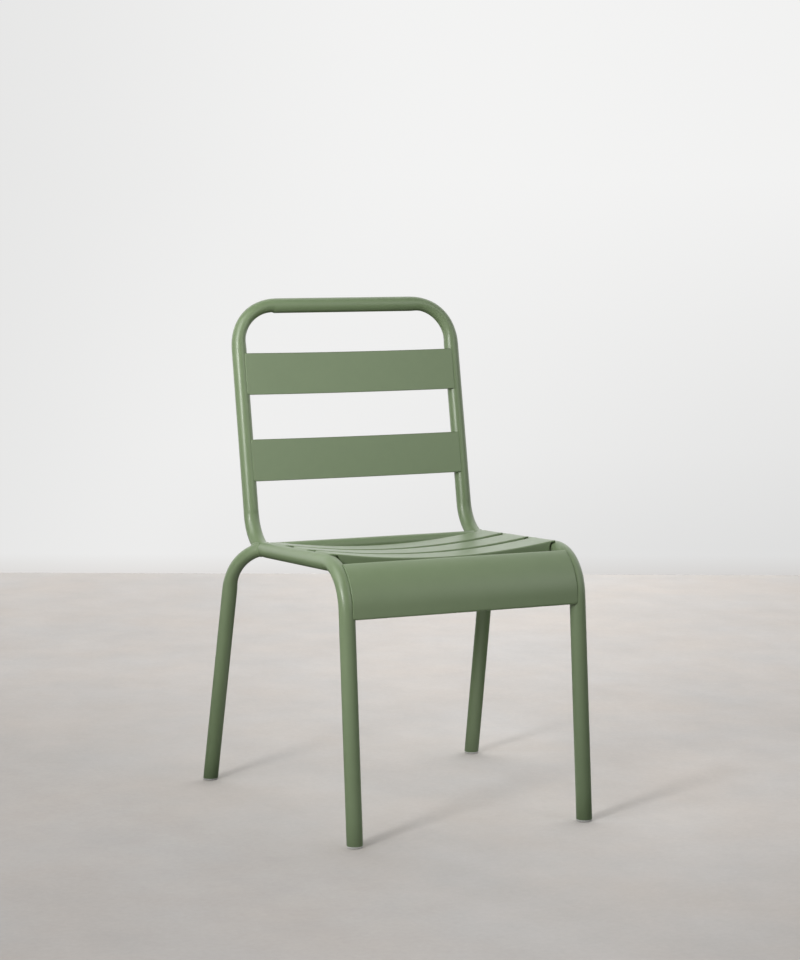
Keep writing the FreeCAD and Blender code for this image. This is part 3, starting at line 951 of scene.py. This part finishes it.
def build_apron():
    foot, front, rear, _ = frame_corners(LEFT)
    leg = unit(front - foot)
    rail = unit(rear - front)
    half = math.acos(-leg @ rail) / 2
    centre = front + unit(rail - leg) * (FRONT_BEND / math.sin(half))
    centre[0] = 0
    forward = vec(0, -leg[2], leg[1])
    outer = FRONT_BEND + TUBE_R - APRON_INSET
    arc = outer * math.acos(APRON_TOP_REACH / outer)
    middle = (arc - APRON_DROP) / 2
    half_width = (arc + APRON_DROP) / 2

    def place(a, b, depth):
        turn = np.clip(b, 0, None) / outer
        over = np.clip(np.maximum(b - arc, -APRON_DROP - b) + APRON_ROLL, 0, None)
        radius = outer - depth - over ** 2 / (2 * APRON_ROLL_R)
        out = np.zeros((len(a), 3)) + centre
        out += np.outer(radius * np.cos(turn), forward)
        out += np.outer(radius * np.sin(turn) + np.minimum(b, 0), leg)
        out[:, 0] += a
        return out

    inner = APRON_END - APRON_COLUMN_INSET
    sheet_piece(
        "apron_sheet",
        edge_rows(half_width, APRON_CORNER_LOW, APRON_CORNER_HIGH, APRON_ROW_SPACING),
        rounded_end(half_width, APRON_END, APRON_CORNER_LOW, APRON_CORNER_HIGH),
        np.linspace(-inner, inner, SHEET_COLUMNS),
        lambda a, b, depth: place(a, b + middle, depth), APRON_SHEET, EDGE_R,
        stands_for=("front_apron",))

    # A bead inside each end, where the sheet runs into the front bend
    reach = outer - APRON_SHEET - FRONT_BEND
    run = np.arange(-APRON_DROP - APRON_BEAD_OVERRUN, arc - BEAD_INSET + 0.1, 1.0)
    turn = np.clip(run, 0, None) / outer
    out = np.outer(np.cos(turn), forward) + np.outer(np.sin(turn), leg)
    for side, side_name in SIDES:
        across = -side * math.sqrt(TUBE_R ** 2 - reach ** 2)
        corner = place(
            np.full(len(run), side * RAIL_X + across), run, np.full(len(run), APRON_SHEET))
        from_tube = unit_rows(out * reach + vec(across, 0, 0))
        sheet_bead(f"weld_front_apron_{side_name}", corner, -out, from_tube, side)


build_apron()


# Camera, fitted to the photo: metres, radians, and the focal length in pixels of its height

CAMERA_PLACE = (-1.457087, -3.339708, 0.877028)
VIEW_YAW, VIEW_PITCH, VIEW_ROLL = (math.radians(turn) for turn in (23.5177, 5.5365, -0.3505))
FOCAL_LENGTH, PHOTO_HEIGHT = 2258.351, 960
SENSOR = 36.0


def photo_camera():
    data = bpy.data.cameras.new("photo_camera")
    data.sensor_width = SENSOR
    data.lens = FOCAL_LENGTH / PHOTO_HEIGHT * SENSOR
    data.clip_start, data.clip_end = 0.1, 100.0
    camera = linked("photo_camera", data)
    level = math.cos(VIEW_PITCH)
    forward = Vector((
        math.sin(VIEW_YAW) * level, math.cos(VIEW_YAW) * level, -math.sin(VIEW_PITCH)))
    right = Vector((math.cos(VIEW_YAW), -math.sin(VIEW_YAW), 0.0))
    upward = right.cross(forward)
    right_rolled = right * math.cos(VIEW_ROLL) + upward * math.sin(VIEW_ROLL)
    upward_rolled = upward * math.cos(VIEW_ROLL) - right * math.sin(VIEW_ROLL)
    turn = Matrix((right_rolled, upward_rolled, -forward)).transposed()
    camera.matrix_world = Matrix.Translation(CAMERA_PLACE) @ turn.to_4x4()
    bpy.context.scene.camera = camera


photo_camera()


# Floor and backdrop, in metres

STAGE_REACH = 9.0
WALL_LEFT, WALL_RIGHT = vec(0.299, 2.835), vec(1.802, 2.055)
WALL_REACH, WALL_HEIGHT, WALL_SUNK = 6.0, 4.0, 0.02
# Key lamp, as azimuth from the front to the left and elevation in degrees
KEY_AZIMUTH, KEY_ELEVATION, KEY_STRENGTH = 56.0, 30.0, 1.3
KEY_DISTANCE, KEY_RADIUS = 2.73, 0.24

# What the wall and the floor send to the chair: the wall's fill, its strength in mirrored rays,
# the floor's glow towards the key lamp, and the lit patch under the seat, which lights the
# right rear leg from below
WALL_FILL = 3.05
WALL_MIRRORED = 1.3
FLOOR_GLOW, FLOOR_GLOW_REACH = 0.69, 1.2
LIT_PATCH = (0.12, 0.06, 0.0)
LIT_PATCH_CORE, LIT_PATCH_REACH, LIT_PATCH_GLOW = 0.05, 0.38, 0.56

# Seen tone of the floor, as place and level: by depth along the view, and across it in front
# and at the back, which blend between two depths. Besides the floor's own pale tone, these
# carry painted light and shade: lightest behind the chair, darker towards the front and sides
FLOOR_TONE_AND_LIGHT_BY_DEPTH = [(-0.8, 0.41), (0.15, 0.553), (1.2, 0.605), (2.9, 0.524)]
FLOOR_LIGHT_ACROSS_NEAR = [(-0.9, 0.65), (-0.3, 0.775), (0.35, 1.0), (1.0, 0.85)]
FLOOR_LIGHT_ACROSS_FAR = [(-1.2, 0.82), (-0.5, 0.865), (0.25, 0.99), (1.3, 0.82)]
FLOOR_NEAR_TO_FAR = (0.2, 1.2)
FLOOR_COOL, FLOOR_WARM = (1.035, 1.0, 0.97), (1.07, 1.0, 0.94)
# Past the ground that the lamps light, the floor stays pale
FLOOR_PALE = (0.66, 0.64, 0.62, 1)
PALE_IN_FRONT, PALE_LEFT, PALE_RIGHT = (-1.1, -2.6), (-1.4, -2.9), (1.4, 2.9)

# Seen tone of the wall across it, which the wall sends out itself: at its foot, at seat height
# and above the chair. This is painted light and shade, lighter high up, darker low on the right
WALL_LOW = [(-1.2, 0.80), (-0.6, 0.835), (1.2, 0.727)]
WALL_MIDDLE = [(-1.2, 0.80), (-0.4, 0.865), (1.2, 0.785)]
WALL_HIGH = [(-1.2, 0.795), (-0.1, 0.887), (1.2, 0.886)]
WALL_LOW_TO_MIDDLE, WALL_MIDDLE_TO_HIGH = (0.08, 0.35), (0.35, 1.1)
# The wall's foot is darker and warmer: painted shade where it meets the floor
WALL_FOOT_HEIGHT, WALL_FOOT_SHADE, WALL_TINT = 0.055, (0.905, 0.887, 0.87), (1.0, 1.0, 0.995)


def direction_to(azimuth, elevation):
    a, e = math.radians(azimuth), math.radians(elevation)
    return Vector((-math.sin(a) * math.cos(e), -math.cos(a) * math.cos(e), math.sin(e)))


def stage_mesh(name, points, material):
    mesh = bpy.data.meshes.new(name)
    mesh.from_pydata(points, [], [(0, 1, 2, 3)])
    mesh.materials.append(material)
    backdrop = linked(name, mesh)
    backdrop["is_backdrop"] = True
    return backdrop


def floor_finish():
    material, shading = new_material("pale_floor")
    coords = shading.coords()
    lateral = shading.along(coords, (math.cos(VIEW_YAW), -math.sin(VIEW_YAW), 0.0))
    depth = shading.along(coords, (math.sin(VIEW_YAW), math.cos(VIEW_YAW), 0.0))
    # Painted light and shade: the floor's tone rises and falls with depth and across the view
    painted_light_across = shading.mixed(
        shading.ranged(depth, *FLOOR_NEAR_TO_FAR),
        shading.level_ramp(lateral, FLOOR_LIGHT_ACROSS_NEAR),
        shading.level_ramp(lateral, FLOOR_LIGHT_ACROSS_FAR))
    stretched = shading.add("ShaderNodeMapping", {
        "Vector": coords, "Rotation": (0, 0, VIEW_YAW), "Scale": (1.0, 0.8, 1.0)})
    cloud = shading.noise(stretched.outputs["Vector"], 7.0, 10.0, 0.7)
    grain = shading.noise(coords, 110.0, 3.0, 0.7)
    warmth = shading.noise(coords, 3.0, 5.0, 0.6)
    tone = shading.product(
        shading.level_ramp(depth, FLOOR_TONE_AND_LIGHT_BY_DEPTH), painted_light_across,
        shading.ranged(cloud, 0.3, 0.7, 0.95, 1.05),
        shading.ranged(grain, 0.3, 0.7, 0.975, 1.025),
        shading.mixed(shading.ranged(warmth, 0.35, 0.65), FLOOR_COOL, FLOOR_WARM))
    seen = shading.add("ShaderNodeBsdfDiffuse", {"Color": tone}).outputs[0]
    outside = shading.ranged(depth, *PALE_IN_FRONT)
    for limits in (PALE_LEFT, PALE_RIGHT):
        outside = shading.maths("MAXIMUM", outside, shading.ranged(lateral, *limits))
    ground = shading.chosen(outside, seen, shading.emission(FLOOR_PALE, 1.0))

    toward_key = shading.along(coords, direction_to(KEY_AZIMUTH, 0))
    glow = shading.ranged(toward_key, 0.0, FLOOR_GLOW_REACH, 0.0, FLOOR_GLOW)
    away = shading.vector_maths("DISTANCE", "Value", coords, LIT_PATCH)
    patch = shading.ranged(away, LIT_PATCH_CORE, LIT_PATCH_REACH, LIT_PATCH_GLOW, 0.0)
    bounced = shading.emission((1.0, 0.97, 0.94, 1), shading.maths("ADD", glow, patch))
    shading.surface(shading.chosen(shading.ray_kind("Is Camera Ray"), bounced, ground))
    return material


def wall_finish():
    material, shading = new_material("pale_wall")
    place = shading.add("ShaderNodeSeparateXYZ", {0: shading.coords()}).outputs
    # The wall's seen tone is painted light and shade across and up it
    low, middle, high = (
        shading.level_ramp(place["X"], stops) for stops in (WALL_LOW, WALL_MIDDLE, WALL_HIGH))
    tone = shading.mixed(shading.ranged(place["Z"], *WALL_LOW_TO_MIDDLE), low, middle)
    tone = shading.mixed(shading.ranged(place["Z"], *WALL_MIDDLE_TO_HIGH), tone, high)
    # Painted shade at the wall's foot, where it meets the floor
    foot = shading.ranged(place["Z"], 0.0, WALL_FOOT_HEIGHT)
    tone = shading.product(tone, shading.mixed(foot, WALL_FOOT_SHADE, WALL_TINT))
    mirrored = shading.ranged(shading.ray_kind("Is Glossy Ray"), 0.0, 1.0, 1.0, WALL_MIRRORED)
    seen = shading.emission(tone, mirrored)
    fill = shading.emission((0.86, 0.86, 0.86, 1), WALL_FILL)
    front = shading.chosen(shading.ray_kind("Is Camera Ray", "Is Glossy Ray"), fill, seen)
    # From behind, the wall is clear, so that it never hides the chair
    behind = shading.add("ShaderNodeNewGeometry", {}).outputs["Backfacing"]
    clear = shading.add("ShaderNodeBsdfTransparent", {}).outputs[0]
    shading.surface(shading.chosen(behind, front, clear))
    return material


def build_stage():
    reach = STAGE_REACH
    stage_mesh(
        "floor", [(-reach, -reach, 0), (reach, -reach, 0), (reach, reach, 0), (-reach, reach, 0)],
        floor_finish())
    reach, low, high = WALL_REACH, -WALL_SUNK, WALL_HEIGHT
    wall = stage_mesh(
        "wall", [(-reach, 0, low), (reach, 0, low), (reach, 0, high), (-reach, 0, high)],
        wall_finish())
    run = WALL_RIGHT - WALL_LEFT
    wall.location = (*((WALL_LEFT + WALL_RIGHT) / 2), 0)
    wall.rotation_euler = (0, 0, math.atan2(run[1], run[0]))


build_stage()


# Lights

# Soft studio surroundings: azimuth from the front to the left, elevation, exponent, strength
DOME = [(-35, 10, 5, 0.57), (-140, 15, 3, 2.7)]
WORLD_SEEN = 0.84
# Soft boxes: azimuth, level distance, height, width, depth, power in watts
SOFT_BOXES = [
    (75, 1.2, 0.95, 0.6, 0.7, 1.0),
    (57, 0.9, 1.5, 0.8, 0.8, 3.9),
    (85, 0.9, 1.3, 0.8, 0.8, 4.8),
    (-35, 1.8, 1.2, 0.8, 0.8, 2.7),
    (-45, 1.2, 1.7, 0.9, 0.9, 1.5),
]
SOFT_BOX_AIM = Vector((0, 0, 0.45))


def studio_dome():
    world = bpy.data.worlds.new("studio")
    bpy.context.scene.world = world
    world.use_nodes = True
    shading = Shading(world.node_tree)
    coords = shading.coords("Generated")
    total = 0.0
    for azimuth, elevation, exponent, strength in DOME:
        toward = shading.along(coords, direction_to(azimuth, elevation))
        lobe = shading.maths("POWER", shading.maths("MAXIMUM", toward, 0.0), exponent)
        total = shading.maths("MULTIPLY_ADD", lobe, strength, total)
    seen = shading.add("ShaderNodeMix", {
        "Factor": shading.ray_kind("Is Camera Ray"), "A": total, "B": WORLD_SEEN},
        data_type="FLOAT")
    background = shading.nodes["Background"]
    shading.feed(background.inputs["Color"], (1, 1, 1, 1))
    shading.feed(background.inputs["Strength"], seen.outputs[0])


def add_lamp(name, kind, energy, place):
    lamp = linked(name, bpy.data.lights.new(name, kind))
    lamp.data.energy = energy
    lamp.location = place
    return lamp


def soft_box(number, azimuth, distance, height, width, depth, power):
    place = direction_to(azimuth, 0) * distance + Vector((0, 0, height))
    lamp = add_lamp(f"soft_box_{number}", "AREA", power, place)
    lamp.data.shape = "RECTANGLE"
    lamp.data.size, lamp.data.size_y = width, depth
    lamp.rotation_mode = "QUATERNION"
    lamp.rotation_quaternion = (place - SOFT_BOX_AIM).to_track_quat("Z", "Y")


def key_light():
    energy = KEY_STRENGTH * 4 * math.pi * KEY_DISTANCE ** 2
    place = direction_to(KEY_AZIMUTH, KEY_ELEVATION) * KEY_DISTANCE
    add_lamp("key_light", "POINT", energy, place).data.shadow_soft_size = KEY_RADIUS


studio_dome()
for number, settings in enumerate(SOFT_BOXES):
    soft_box(number, *settings)
key_light()
bpy.context.scene.view_settings.view_transform = "Standard"

boxes = [[list(corner) for corner in box] for box in (cad_box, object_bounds())]
